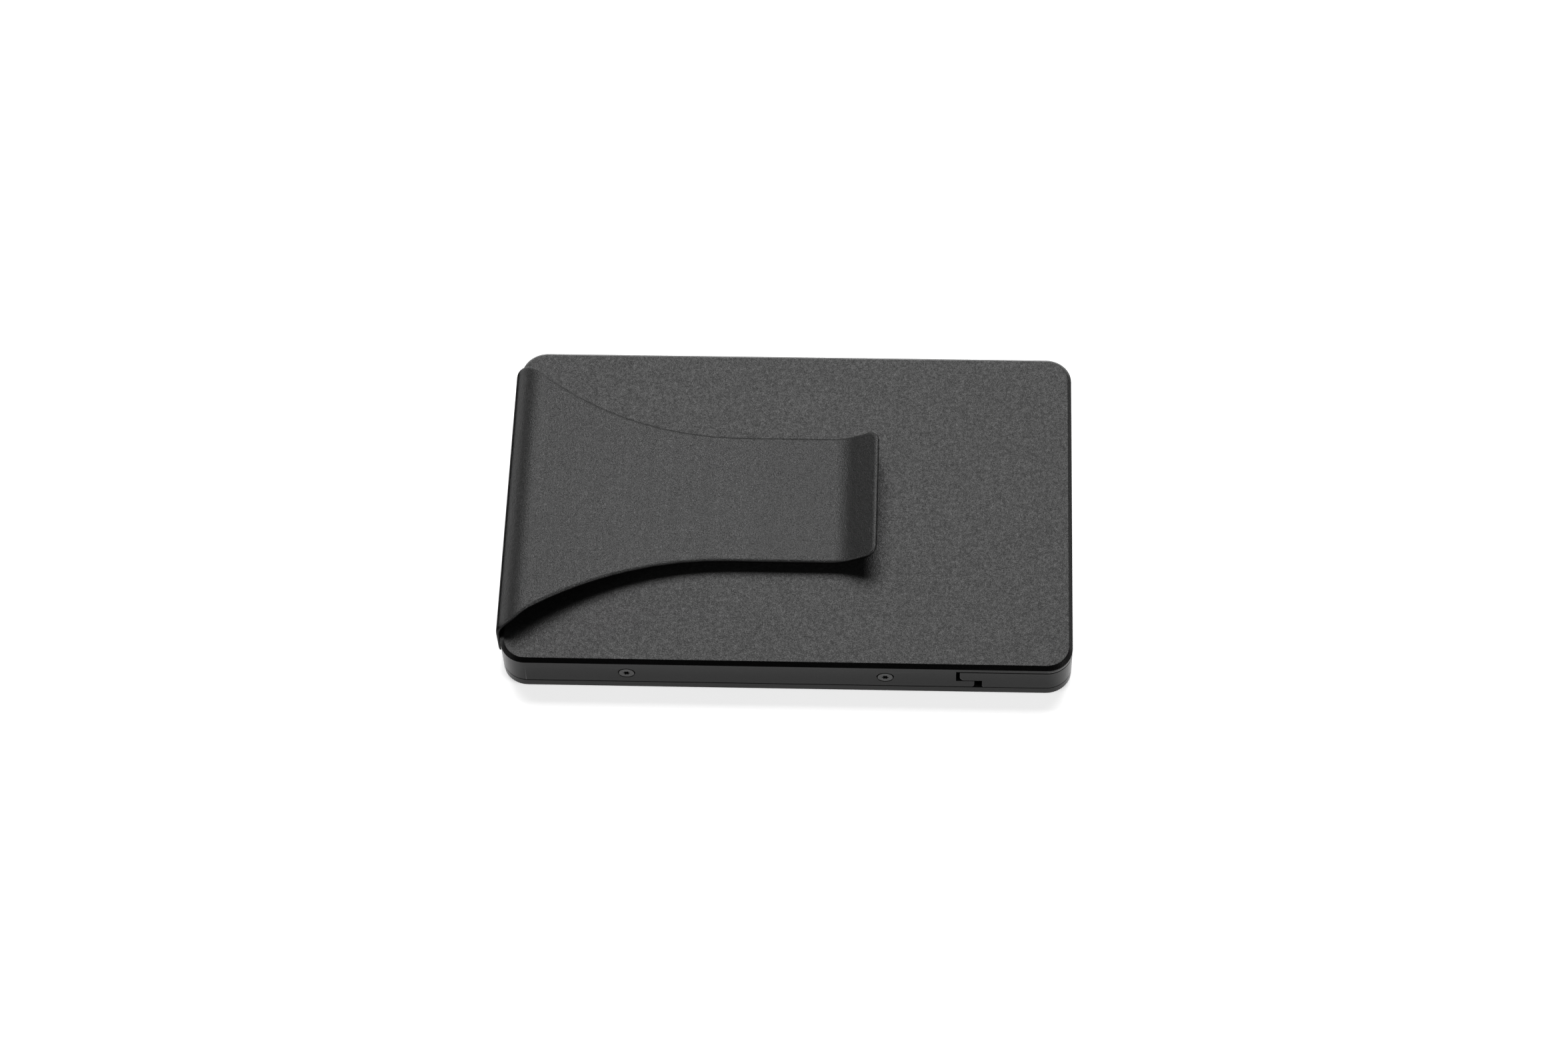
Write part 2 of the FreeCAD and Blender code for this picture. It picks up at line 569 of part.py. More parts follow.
def make_plunger_spring():
    start_y = BALL_Y + BALL_R + 0.05
    wire_r = 0.12
    coil_r = 0.55
    length = PLUNGER_BORE_Y1 - 2 * wire_r - 0.05 - start_y
    helix = Part.makeHelix(0.5, length, coil_r)
    ring = Part.Wire([Part.makeCircle(wire_r, V(coil_r, 0, 0), V(0, 1, 0))])
    coil = Part.Wire(helix.Edges).makePipeShell([ring], True, True)
    return turned(coil, V(1, 0, 0), -90, V(PLUNGER_X, start_y + wire_r, PLUNGER_Z))


# ---- money clip ------------------------------------------------------------

def strip_face(start_x, start_z, heading, steps, thickness):
    # Side profile of a bent sheet: the outer line is walked step by step as
    # straights and tangent arcs, and the inner line runs thickness below it.
    x = start_x
    z = start_z
    angle = math.radians(heading)
    outer = []
    inner = []
    offset = -thickness

    def at(px, pz, a, d):
        return V(px - d * math.sin(a), 0, pz + d * math.cos(a))

    first = (at(x, z, angle, 0), at(x, z, angle, offset))
    for kind, size, turn in steps:
        if kind == "line":
            nx = x + size * math.cos(angle)
            nz = z + size * math.sin(angle)
            outer.append(Part.makeLine(at(x, z, angle, 0), at(nx, nz, angle, 0)))
            inner.append(Part.makeLine(at(x, z, angle, offset), at(nx, nz, angle, offset)))
            x = nx
            z = nz
        else:
            bend = math.radians(turn)
            side = 1.0 if turn > 0 else -1.0
            centre_x = x - side * size * math.sin(angle)
            centre_z = z + side * size * math.cos(angle)
            stations = []
            for part in (0.0, 0.5, 1.0):
                a = angle + bend * part
                stations.append((centre_x + side * size * math.sin(a), centre_z - side * size * math.cos(a), a))
            outer.append(Part.Arc(*[at(sx, sz, sa, 0) for sx, sz, sa in stations]).toShape())
            inner.append(Part.Arc(*[at(sx, sz, sa, offset) for sx, sz, sa in stations]).toShape())
            x = stations[2][0]
            z = stations[2][1]
            angle = angle + bend
    last = (at(x, z, angle, 0), at(x, z, angle, offset))
    edges = outer + [Part.makeLine(last[0], last[1])] + inner[::-1] + [Part.makeLine(first[1], first[0])]
    return Part.Face(Part.Wire(Part.__sortEdges__(edges)))


def flare_half_width(x):
    run = FLARE_START_X - x
    return TONGUE_HALF_W + FLARE_R - math.sqrt(FLARE_R * FLARE_R - run * run)


def flare_end_x():
    # Where the flare reaches the half width of the web.
    rise = WEB_HALF_W - TONGUE_HALF_W
    return FLARE_START_X - math.sqrt(FLARE_R * FLARE_R - (FLARE_R - rise) * (FLARE_R - rise))


def make_clip_plan():
    # Plan outline: a parallel tongue whose sides flare along one large arc to
    # nearly the whole width of the end face.
    left_x = CLIP_X - 1.0
    wide_x = flare_end_x()
    mid_x = (wide_x + FLARE_START_X) / 2
    tip_y = TONGUE_HALF_W - LIP_CORNER_R
    bend_x = TIP_X - LIP_CORNER_R
    knee = LIP_CORNER_R * (1 - math.sqrt(0.5))
    sides = []
    for s in (1.0, -1.0):
        wide = V(wide_x, s * WEB_HALF_W, 0)
        sides.append(Part.makeLine(V(left_x, wide.y, 0), wide))
        sides.append(Part.Arc(wide, V(mid_x, s * flare_half_width(mid_x), 0),
                              V(FLARE_START_X, s * TONGUE_HALF_W, 0)).toShape())
        sides.append(Part.makeLine(V(FLARE_START_X, s * TONGUE_HALF_W, 0), V(bend_x, s * TONGUE_HALF_W, 0)))
        sides.append(Part.Arc(V(bend_x, s * TONGUE_HALF_W, 0),
                              V(TIP_X - knee, s * (TONGUE_HALF_W - knee), 0),
                              V(TIP_X, s * tip_y, 0)).toShape())
    sides.append(Part.makeLine(V(TIP_X, tip_y, 0), V(TIP_X, -tip_y, 0)))
    sides.append(Part.makeLine(V(left_x, -WEB_HALF_W, 0), V(left_x, WEB_HALF_W, 0)))
    plan = Part.Face(Part.Wire(Part.__sortEdges__(sides))).extrude(V(0, 0, 2 * HEIGHT))
    shoulders = []
    for edge in plan.Edges:
        upright = abs(edge.tangentAt(edge.FirstParameter).z) > 0.99
        if upright and abs(edge.CenterOfMass.x - wide_x) < 0.01:
            shoulders.append(edge)
    return plan.makeFillet(SHOULDER_R, shoulders)


def make_clip_spring_arm():
    steps = [
        ("arc", BEND_R, -98.0),
        ("arc", 190.0, 5.0),
        ("arc", 497.0, 3.0),
        ("line", 8.5, 0.0),
        ("arc", 8.0, 28.0),
        ("line", 5.4, 0.0),
    ]
    profile = strip_face(CLIP_X, ARM_Z0, 90.0, steps, CLIP_T)
    sheet = profile.extrude(V(0, 2 * WEB_HALF_W + 4, 0))
    sheet.translate(V(0, -WEB_HALF_W - 2, 0))
    return sheet.common(make_clip_plan())


def make_clip_anchor():
    web = box(CLIP_X, X_LEFT, -WEB_HALF_W, WEB_HALF_W, WEB_Z0, WEB_Z1)
    corners = []
    for edge in web.Edges:
        across = abs(edge.tangentAt(edge.FirstParameter).x) > 0.99
        if across and edge.CenterOfMass.z < WEB_Z0 + 0.01:
            corners.append(edge)
    web = web.makeFillet(WEB_CORNER_R, corners)
    for place in clip_screw_places():
        web = web.cut(turned(sink(HEAD_R, HEAD_H, SCREW_R, CLIP_T + 0.1), V(0, 1, 0), 90, place))
    return web


def clip_screw_places():
    return [V(CLIP_X, y, CLIP_SCREW_Z) for y in CLIP_SCREW_YS]


def make_clip_screws():
    length = CLIP_T + CLIP_SCREW_DEPTH - 0.3
    screw = countersunk_screw(HEAD_R, HEAD_H, SCREW_R, length, SOCKET_R, SOCKET_DEPTH)
    return Part.makeCompound([turned(screw, V(0, 1, 0), 90, place) for place in clip_screw_places()])


save("top_shell", make_top_shell())
save("bottom_plate", make_bottom_plate())
save("front_lugs", make_front_lugs())
save("side_screws", make_side_screws())
save("bottom_screws", make_bottom_screws())
save("upper_liner", make_upper_liner())
save("lower_liner", make_lower_liner())
save("card_rail", make_card_rail())
save("tension_leaf", make_tension_leaf())
save("leaf_rivets", make_leaf_rivets())
save("pivot_screw", make_pivot_screw())
save("lower_thrust_washer", make_washer(SEAM_Z))
save("upper_thrust_washer", make_washer(CEILING_Z - WASHER_T))
save("lever_stop_pin", make_stop_pin())
save("lever_spring", make_lever_spring())
save("flick_lever", make_flick_lever())
save("lever_bush", make_lever_bush())
save("fan_pusher", make_fan_pusher())
save("pusher_screws", make_pusher_screws())
save("plunger_body", make_plunger_body())
save("plunger_ball", make_plunger_ball())
save("plunger_spring", make_plunger_spring())
save("clip_spring_arm", make_clip_spring_arm())
save("clip_anchor", make_clip_anchor())
save("clip_screws", make_clip_screws())
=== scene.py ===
import json
import math

import bmesh
import bpy
from mathutils import Matrix, Vector


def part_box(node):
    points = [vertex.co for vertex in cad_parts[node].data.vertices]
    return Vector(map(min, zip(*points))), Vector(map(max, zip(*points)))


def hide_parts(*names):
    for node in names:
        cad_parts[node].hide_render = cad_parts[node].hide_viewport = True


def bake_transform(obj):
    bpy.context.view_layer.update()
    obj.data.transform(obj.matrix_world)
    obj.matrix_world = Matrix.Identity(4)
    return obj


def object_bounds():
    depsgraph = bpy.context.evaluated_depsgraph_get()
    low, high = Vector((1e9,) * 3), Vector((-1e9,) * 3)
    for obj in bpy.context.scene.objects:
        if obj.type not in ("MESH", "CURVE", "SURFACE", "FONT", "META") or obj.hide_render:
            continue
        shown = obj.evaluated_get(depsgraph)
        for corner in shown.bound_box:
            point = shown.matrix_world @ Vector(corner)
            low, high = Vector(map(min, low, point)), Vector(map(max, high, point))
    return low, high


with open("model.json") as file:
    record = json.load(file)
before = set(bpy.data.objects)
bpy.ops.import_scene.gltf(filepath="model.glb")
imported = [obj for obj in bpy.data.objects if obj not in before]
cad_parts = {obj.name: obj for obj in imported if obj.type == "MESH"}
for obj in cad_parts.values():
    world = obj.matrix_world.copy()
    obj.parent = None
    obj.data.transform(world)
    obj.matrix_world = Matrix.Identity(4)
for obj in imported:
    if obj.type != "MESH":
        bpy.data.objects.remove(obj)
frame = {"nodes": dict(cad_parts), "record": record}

CAD_LOW, CAD_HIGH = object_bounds()
MM = 0.001

# Boxes of the CAD nodes that pieces and the camera take their places from.
TOP_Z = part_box("top_shell")[1].z
WEB_LOW, WEB_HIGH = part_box("clip_anchor")
ARM_LOW, ARM_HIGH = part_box("clip_spring_arm")
CLIP_SCREWS_LOW, CLIP_SCREWS_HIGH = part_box("clip_screws")
SPRING_LOW, SPRING_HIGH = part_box("lever_spring")
PIVOT_LOW, PIVOT_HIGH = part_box("pivot_screw")

# Edges at which the surface turns by more than this stay sharp.
SHARP_ANGLE = math.radians(50)

# Camera: angles in degrees, the lens in millimetres, and the point that it looks at.
CAMERA_AZIMUTH = 4.545
CAMERA_ELEVATION = 59.158
CAMERA_ROLL = -3.047
CAMERA_DISTANCE = 659.9 * MM
CAMERA_LENS = 86.52
CAMERA_AIM = Vector((-1.07 * MM, -3.33 * MM, TOP_Z))


# ---- node material helpers ---------------------------------------------------

def new_material(name):
    # An empty tree with one Principled shader and the texture coordinates.
    material = bpy.data.materials.new(name)
    material.use_nodes = True
    tree = material.node_tree
    tree.nodes.clear()
    output = tree.nodes.new("ShaderNodeOutputMaterial")
    shader = tree.nodes.new("ShaderNodeBsdfPrincipled")
    tree.links.new(shader.outputs["BSDF"], output.inputs["Surface"])
    coords = tree.nodes.new("ShaderNodeTexCoord")
    return material, tree, shader, coords


def feed(tree, socket, value):
    # A number is set on the socket, and an output is linked to it.
    if isinstance(value, (int, float)):
        socket.default_value = value
    else:
        tree.links.new(value, socket)


def noise(tree, vector, scale, detail=2.0, roughness=0.5):
    # Noise from about 0.3 to 0.7 round a middle of 0.5.
    node = tree.nodes.new("ShaderNodeTexNoise")
    node.inputs["Scale"].default_value = scale
    node.inputs["Detail"].default_value = detail
    node.inputs["Roughness"].default_value = roughness
    tree.links.new(vector, node.inputs["Vector"])
    return node.outputs["Fac"]


def stretched(tree, vector, scale):
    # Coordinates for a pattern that is longer along the axes with the smaller scale.
    node = tree.nodes.new("ShaderNodeMapping")
    node.inputs["Scale"].default_value = scale
    tree.links.new(vector, node.inputs["Vector"])
    return node.outputs["Vector"]


def ramp(tree, value, stops):
    # stops are (position, colour).
    node = tree.nodes.new("ShaderNodeValToRGB")
    elements = node.color_ramp.elements
    while len(elements) < len(stops):
        elements.new(0.5)
    for element, (position, colour) in zip(elements, stops):
        element.position = position
        element.color = (*colour, 1.0)
    tree.links.new(value, node.inputs["Fac"])
    return node.outputs["Color"]


def remap(tree, value, low, high, new_low, new_high):
    # Stretches low to high onto new_low to new_high, and holds the ends.
    node = tree.nodes.new("ShaderNodeMapRange")
    node.inputs["From Min"].default_value = low
    node.inputs["From Max"].default_value = high
    node.inputs["To Min"].default_value = new_low
    node.inputs["To Max"].default_value = new_high
    tree.links.new(value, node.inputs["Value"])
    return node.outputs["Result"]


def math_node(tree, operation, a, b):
    node = tree.nodes.new("ShaderNodeMath")
    node.operation = operation
    feed(tree, node.inputs[0], a)
    feed(tree, node.inputs[1], b)
    return node.outputs["Value"]


def add(tree, a, share_a, b, share_b):
    # Weighted sum of two patterns.
    part_a = math_node(tree, "MULTIPLY", a, share_a)
    part_b = math_node(tree, "MULTIPLY", b, share_b)
    return math_node(tree, "ADD", part_a, part_b)


def bump(tree, shader, height, strength, distance):
    # strength may be a number or a mask that says where the relief shows.
    node = tree.nodes.new("ShaderNodeBump")
    node.inputs["Distance"].default_value = distance
    feed(tree, node.inputs["Strength"], strength)
    tree.links.new(height, node.inputs["Height"])
    tree.links.new(node.outputs["Normal"], shader.inputs["Normal"])


def blend_by(tree, share, a, b):
    # a where share is 0 and b where it is 1.
    node = tree.nodes.new("ShaderNodeMix")
    for index, value in ((0, share), (2, a), (3, b)):
        feed(tree, node.inputs[index], value)
    return node.outputs[0]


def blend_colours(tree, share, a, b):
    # The colour a where share is 0 and b where it is 1; the colour sockets follow the number sockets.
    node = tree.nodes.new("ShaderNodeMix")
    node.data_type = "RGBA"
    for index, value in ((0, share), (6, a), (7, b)):
        feed(tree, node.inputs[index], value)
    return node.outputs[2]


def lie_of_surface(tree, coords):
    # 0 on upright walls, 0.7 on 45 degree chamfers, 1 on level faces.
    parts = tree.nodes.new("ShaderNodeSeparateXYZ")
    tree.links.new(coords.outputs["Normal"], parts.inputs["Vector"])
    return math_node(tree, "ABSOLUTE", parts.outputs["Z"], 0.0)


def grey_ramp(tree, value, stops):
    # stops are (position, grey level).
    return ramp(tree, value, [(position, (level, level, level)) for position, level in stops])


# ---- materials ---------------------------------------------------------------

# Share of light that a milled wall mirrors when looked at squarely, and its roughness.
WALL_SHEEN = 0.025
WALL_ROUGHNESS = 0.24

# Scales of the noises, per metre.
BLAST_PITS = 4800.0
BLAST_MOTTLE = 1700.0
DYE_PATCHES = 30.0
PAINT_WRINKLES = 2000.0
PAINT_PITS = 5600.0
OXIDE_MARKS = 6000.0
DRAWING_LINES = 900.0
PLASTIC_GRAIN = 2600.0

# Depths of the relief, in metres.
BLAST_DEPTH = 0.10 * MM
PAINT_DEPTH = 0.13 * MM
METAL_DEPTH = 0.03 * MM
PLASTIC_DEPTH = 0.05 * MM


def blasted_anodise(name, level, specular, grain, roughness):
    # Dyed aluminium: fine bead-blast pits on the level faces and a smoother milled finish on the
    # upright walls. The chamfers between them carry painted shade: their slope switches off their
    # reflection, so they stay near black.
    material, tree, shader, coords = new_material(name)
    position = coords.outputs["Object"]
    lie = lie_of_surface(tree, coords)
    blast = remap(tree, lie, 0.3, 1.0, 0.0, 1.0)
    milled = remap(tree, lie, 0.2, 0.5, 1.0, 0.0)
    pits = noise(tree, position, BLAST_PITS, 1.5, 0.6)
    mottle = noise(tree, position, BLAST_MOTTLE)
    patches = noise(tree, position, DYE_PATCHES)
    relief = add(tree, pits, 0.65, mottle, 0.35)
    mixed = add(tree, relief, 0.8, patches, 0.2)
    dyed = grey_ramp(tree, mixed, [(0.3, level * 0.4), (0.5, level), (0.7, level * 2.2)])
    cut = grey_ramp(tree, mixed, [(0.3, WALL_SHEEN * 0.9), (0.7, WALL_SHEEN * 1.1)])
    tree.links.new(blend_colours(tree, milled, dyed, cut), shader.inputs["Base Color"])
    tree.links.new(milled, shader.inputs["Metallic"])
    spread = grain * 0.17
    blasted = remap(tree, relief, 0.35, 0.65, roughness + spread, roughness - spread)
    tree.links.new(blend_by(tree, blast, WALL_ROUGHNESS, blasted), shader.inputs["Roughness"])
    # Painted shade by slope: no specular tint on the chamfers, 0.78 on the walls, and full tint on the
    # faces.
    painted_shade_tint = grey_ramp(tree, lie, [(0.3, 0.78), (0.5, 0.0), (0.8, 0.0), (0.93, 1.0)])
    tree.links.new(painted_shade_tint, shader.inputs["Specular Tint"])
    shader.inputs["Specular IOR Level"].default_value = specular
    bump(tree, shader, relief, blend_by(tree, blast, grain * 0.1, grain), BLAST_DEPTH)
    return material


def powder_coat(name, level, specular, roughness):
    # Baked powder paint: small pits and shallow wrinkles that run along X. Painted shade where the
    # sheet turns upright and over the bend: a dim metal colour and a lower specular tint darken its
    # reflection.
    material, tree, shader, coords = new_material(name)
    position = coords.outputs["Object"]
    wrinkles = noise(tree, stretched(tree, position, (0.6, 1.0, 1.0)), PAINT_WRINKLES, 1.0)
    pits = noise(tree, position, PAINT_PITS, 1.5, 0.6)
    relief = add(tree, wrinkles, 0.3, pits, 0.7)
    lie = lie_of_surface(tree, coords)
    upright = remap(tree, lie, 0.45, 0.8, 1.0, 0.0)
    painted = grey_ramp(tree, relief, [(0.35, level * 0.7), (0.65, level * 1.3)])
    # Painted shade: the upright web and the steep part of the bend become a dim metal, which darkens their
    # reflection.
    upright_painted_shade = grey_ramp(tree, relief, [(0.35, WALL_SHEEN * 0.5), (0.65, WALL_SHEEN * 0.7)])
    tree.links.new(blend_colours(tree, upright, painted, upright_painted_shade), shader.inputs["Base Color"])
    tree.links.new(upright, shader.inputs["Metallic"])
    satin = remap(tree, pits, 0.3, 0.7, roughness + 0.14, roughness - 0.14)
    tree.links.new(satin, shader.inputs["Roughness"])
    # Painted shade: less specular tint on the sloping part of the bend, for a darker band there.
    painted_shade_tint = grey_ramp(tree, lie, [(0.12, 0.65), (0.4, 0.2), (0.8, 1.0)])
    tree.links.new(painted_shade_tint, shader.inputs["Specular Tint"])
    shader.inputs["Specular IOR Level"].default_value = specular
    bump(tree, shader, relief, 1.0, PAINT_DEPTH)
    return material


def black_oxide(name, level):
    # Blackened steel with fine uneven marks.
    material, tree, shader, coords = new_material(name)
    marks = noise(tree, coords.outputs["Object"], OXIDE_MARKS)
    colour = grey_ramp(tree, marks, [(0.3, level * 0.7), (0.7, level * 1.5)])
    tree.links.new(colour, shader.inputs["Base Color"])
    tree.links.new(remap(tree, marks, 0.3, 0.7, 0.45, 0.35), shader.inputs["Roughness"])
    shader.inputs["Specular IOR Level"].default_value = 0.35
    bump(tree, shader, marks, 0.2, METAL_DEPTH)
    return material


def drawn_metal(name, colour, roughness):
    # Bare metal with drawing lines along X.
    material, tree, shader, coords = new_material(name)
    position = stretched(tree, coords.outputs["Object"], (1.0, 12.0, 12.0))
    lines = noise(tree, position, DRAWING_LINES, 3.0)
    low = tuple(c * 0.75 for c in colour)
    tree.links.new(ramp(tree, lines, [(0.3, low), (0.7, colour)]), shader.inputs["Base Color"])
    shader.inputs["Metallic"].default_value = 1.0
    worn = remap(tree, lines, 0.3, 0.7, roughness + 0.1, roughness - 0.05)
    tree.links.new(worn, shader.inputs["Roughness"])
    bump(tree, shader, lines, 0.2, METAL_DEPTH)
    return material


def moulded_plastic(name, level):
    # Dark plastic with the fine grain of an eroded mould.
    material, tree, shader, coords = new_material(name)
    grain = noise(tree, coords.outputs["Object"], PLASTIC_GRAIN, 3.0, 0.6)
    colour = grey_ramp(tree, grain, [(0.3, level * 0.7), (0.7, level * 1.3)])
    tree.links.new(colour, shader.inputs["Base Color"])
    tree.links.new(remap(tree, grain, 0.3, 0.7, 0.65, 0.5), shader.inputs["Roughness"])
    bump(tree, shader, grain, 0.35, PLASTIC_DEPTH)
    return material


MATERIALS = {
    "shell_coat": blasted_anodise("shell_coat", 0.0015, 0.34, 0.8, 0.48),
    "lever_coat": blasted_anodise("lever_coat", 0.0015, 0.34, 0.6, 0.44),
    "clip_coat": powder_coat("clip_coat", 0.007, 0.36, 0.40),
    "screw_black": black_oxide("screw_black", 0.012),
    "bare_aluminium": drawn_metal("bare_aluminium", (0.55, 0.55, 0.56), 0.35),
    "spring_steel": drawn_metal("spring_steel", (0.5, 0.5, 0.51), 0.28),
    "rivet_brass": drawn_metal("rivet_brass", (0.6, 0.45, 0.2), 0.35),
    "acetal": moulded_plastic("acetal", 0.02),
    "liner_plastic": moulded_plastic("liner_plastic", 0.015),
}


def dress_cad_nodes():
    # Every CAD node gets the material of its slot in the record.
    for subpart in frame["record"]["subparts"]:
        node = frame["nodes"][subpart["node"]]
        node.data.materials.clear()
        node.data.materials.append(MATERIALS[subpart["material_slot"]])


# ---- edges of the carried-over CAD nodes -------------------------------------

# How far apart two vertices may stand to be made one, the least crease that is rounded, and
# the width of each node's roundings.
WELD_REACH = 0.002 * MM
CREASE_ANGLE = math.radians(32)
EDGE_ROUNDINGS = {
    "top_shell": 0.05 * MM,
    "flick_lever": 0.08 * MM,
    "bottom_plate": 0.12 * MM,
}


def smoothing_nodes(limit):
    # Shades every face smooth, and keeps only the edges above the limit sharp.
    tree = bpy.data.node_groups.new("smooth_below_angle", "GeometryNodeTree")
    tree.interface.new_socket("Geometry", in_out="INPUT", socket_type="NodeSocketGeometry")
    tree.interface.new_socket("Geometry", in_out="OUTPUT", socket_type="NodeSocketGeometry")
    start = tree.nodes.new("NodeGroupInput")
    end = tree.nodes.new("NodeGroupOutput")
    angle = tree.nodes.new("GeometryNodeInputMeshEdgeAngle")
    below = tree.nodes.new("FunctionNodeCompare")
    below.operation = "LESS_EQUAL"
    below.inputs["B"].default_value = limit
    tree.links.new(angle.outputs["Unsigned Angle"], below.inputs["A"])
    faces = tree.nodes.new("GeometryNodeSetShadeSmooth")
    edges = tree.nodes.new("GeometryNodeSetShadeSmooth")
    edges.domain = "EDGE"
    tree.links.new(below.outputs["Result"], edges.inputs["Shade Smooth"])
    tree.links.new(start.outputs["Geometry"], faces.inputs["Geometry"])
    tree.links.new(faces.outputs["Geometry"], edges.inputs["Geometry"])
    tree.links.new(edges.outputs["Geometry"], end.inputs["Geometry"])
    return tree


def soften_edges(name, width, smoothing):
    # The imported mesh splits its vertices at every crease: weld them, round the creases,
    # and let the large flat faces set the normals so that the corner arcs run on smoothly.
    node = frame["nodes"][name]
    weld = node.modifiers.new("weld", "WELD")
    weld.merge_threshold = WELD_REACH
    bevel = node.modifiers.new("bevel", "BEVEL")
    bevel.width = width
    bevel.segments = 2
    bevel.limit_method = "ANGLE"
    bevel.angle_limit = CREASE_ANGLE
    bevel.use_clamp_overlap = True
    smooth = node.modifiers.new("smooth", "NODES")
    smooth.node_group = smoothing
    weighted = node.modifiers.new("weighted", "WEIGHTED_NORMAL")
    weighted.weight = 100
    weighted.keep_sharp = True


# ---- helpers for made meshes -------------------------------------------------

def add_wall(bm, rings):
    # Quads between neighbouring rings; the first and the last ring are left open.
    made = [[bm.verts.new(p) for p in ring] for ring in rings]
    for upper, lower in zip(made, made[1:]):
        for i in range(len(upper)):
            j = (i + 1) % len(upper)
            bm.faces.new((upper[i], upper[j], lower[j], lower[i]))
    return made[0], made[-1]


def piece_from(bm, name, slot):
    # A smooth-shaded object in the slot's material, with its sharp edges marked.
    mesh = bpy.data.meshes.new(name)
    bm.to_mesh(mesh)
    bm.free()
    for polygon in mesh.polygons:
        polygon.use_smooth = True
    mesh.set_sharp_from_angle(angle=SHARP_ANGLE)
    mesh.materials.append(MATERIALS[slot])
    piece = bpy.data.objects.new(name, mesh)
    bpy.context.scene.collection.objects.link(piece)
    return piece


# ---- clip sheet --------------------------------------------------------------

# The flat blank has its own coordinates: s along the sheet from the foot of the web, w across
# it, which is Y, and h from the middle of its thickness towards the outer face.
SHEET_T = WEB_HIGH.x - WEB_LOW.x
RIM_IN = 0.65 * MM
RIM_DOWN = 0.34 * MM
RIM_STEPS = 6
WEB_HALF_W = WEB_HIGH.y
TONGUE_HALF_W = 12.66 * MM
FLARE_R = 58.5 * MM
FLARE_START_X = -10.0 * MM
SHOULDER_R = 6.0 * MM
FOOT_CORNER_R = 1.5 * MM
FOOT_CORNER_STEPS = 8
LIP_CORNER_R = 2.0 * MM
LIP_CORNER_STEPS = 12
SCREW_HEAD_R = 1.5 * MM
SCREW_Y = CLIP_SCREWS_HIGH.y - SCREW_HEAD_R
SCREW_Z = (CLIP_SCREWS_LOW.z + CLIP_SCREWS_HIGH.z) / 2
SCREW_HOLE_R = 1.62 * MM
SCREW_HOLE_SIDES = 40
SCREW_HOLE_CHAMFER = 0.04 * MM

# How near to a cutting plane a vertex counts as lying on it.
CUT_REACH = 0.0005 * MM

# Side profile of the outer face, up from the foot of the web. A straight run has its length
# and no turn; an arc has its radius and its turn in degrees, minus where it turns downwards.
CLIP_PROFILE = [
    (ARM_LOW.z - WEB_LOW.z, 0.0),  # web, which stands upright
    (5.3 * MM, -98.0),             # bend, past level
    (190.0 * MM, 5.0),             # tongue, sloping down from the bend
    (497.0 * MM, 3.0),             # tongue, coming level
    (8.5 * MM, 0.0),               # level end of the tongue
    (8.0 * MM, 28.0),              # bend of the lip
    (5.4 * MM, 0.0),               # lip, turned up
]

# Spacing of the stations: a length on a straight run, and degrees on an arc.
STRAIGHT_STEP = 1.0 * MM
ARC_STEP = 2.0
LEAST_ARC_STEPS = 6


def walk_profile():
    # Stations along the side profile: (distance along the sheet, x, z, heading).
    x, z, heading = WEB_LOW.x, WEB_LOW.z, math.radians(90)
    stations = [(0.0, x, z, heading)]
    run = 0.0
    for size, turn in CLIP_PROFILE:
        if turn == 0.0:
            steps = max(1, round(size / STRAIGHT_STEP))
            for _ in range(steps):
                x += math.cos(heading) * size / steps
                z += math.sin(heading) * size / steps
                run += size / steps
                stations.append((run, x, z, heading))
            continue
        angle = math.radians(turn)
        side = math.copysign(1.0, angle)
        steps = max(LEAST_ARC_STEPS, round(abs(turn) / ARC_STEP))
        centre_x = x - side * size * math.sin(heading)
        centre_z = z + side * size * math.cos(heading)
        for _ in range(steps):
            heading += angle / steps
            run += size * abs(angle) / steps
            x = centre_x + side * size * math.sin(heading)
            z = centre_z - side * size * math.cos(heading)
            stations.append((run, x, z, heading))
    return stations


PROFILE = walk_profile()


def flare_half_width(x):
    # Half width of the sheet at x: the web, the shoulder fillet that rolls from its side into the
    # flare, and the flare that runs out into the tongue.
    fillet_y = WEB_HALF_W - SHOULDER_R
    rise = TONGUE_HALF_W + FLARE_R - fillet_y
    fillet_x = FLARE_START_X - math.sqrt((FLARE_R + SHOULDER_R) ** 2 - rise ** 2)
    touch_x = FLARE_START_X + (fillet_x - FLARE_START_X) * FLARE_R / (FLARE_R + SHOULDER_R)
    if x <= fillet_x:
        return WEB_HALF_W
    if x <= touch_x:
        return fillet_y + math.sqrt(SHOULDER_R ** 2 - (x - fillet_x) ** 2)
    run = max(0.0, FLARE_START_X - x)
    return TONGUE_HALF_W + FLARE_R - math.sqrt(FLARE_R ** 2 - run ** 2)


def tip_run():
    # Distance along the sheet at which it reaches the end of the CAD arm.
    for (run_a, x_a, _, _), (run_b, x_b, _, _) in zip(PROFILE, PROFILE[1:]):
        if x_b >= ARM_HIGH.x:
            return run_a + (run_b - run_a) * (ARM_HIGH.x - x_a) / (x_b - x_a)
    return PROFILE[-1][0]


def corner(centre_s, centre_w, radius, start, end, steps):
    # Points on an arc from the start angle to the end angle, as (s, w).
    angles = [start + (end - start) * i / steps for i in range(steps + 1)]
    return [(centre_s + radius * math.cos(a), centre_w + radius * math.sin(a)) for a in angles]


def blank_outline():
    # Outline of the flat blank as (s, w): up one side from the foot to the tip, and back down
    # the other.
    end = tip_run()
    right = math.pi / 2
    half = corner(FOOT_CORNER_R, WEB_HALF_W - FOOT_CORNER_R, FOOT_CORNER_R,
                  math.pi, right, FOOT_CORNER_STEPS)
    for run, x, _, _ in PROFILE:
        if FOOT_CORNER_R < run < end - LIP_CORNER_R:
            half.append((run, flare_half_width(x)))
    half += corner(end - LIP_CORNER_R, TONGUE_HALF_W - LIP_CORNER_R, LIP_CORNER_R,
                   right, 0.0, LIP_CORNER_STEPS)
    return half + [(s, -w) for s, w in reversed(half)]


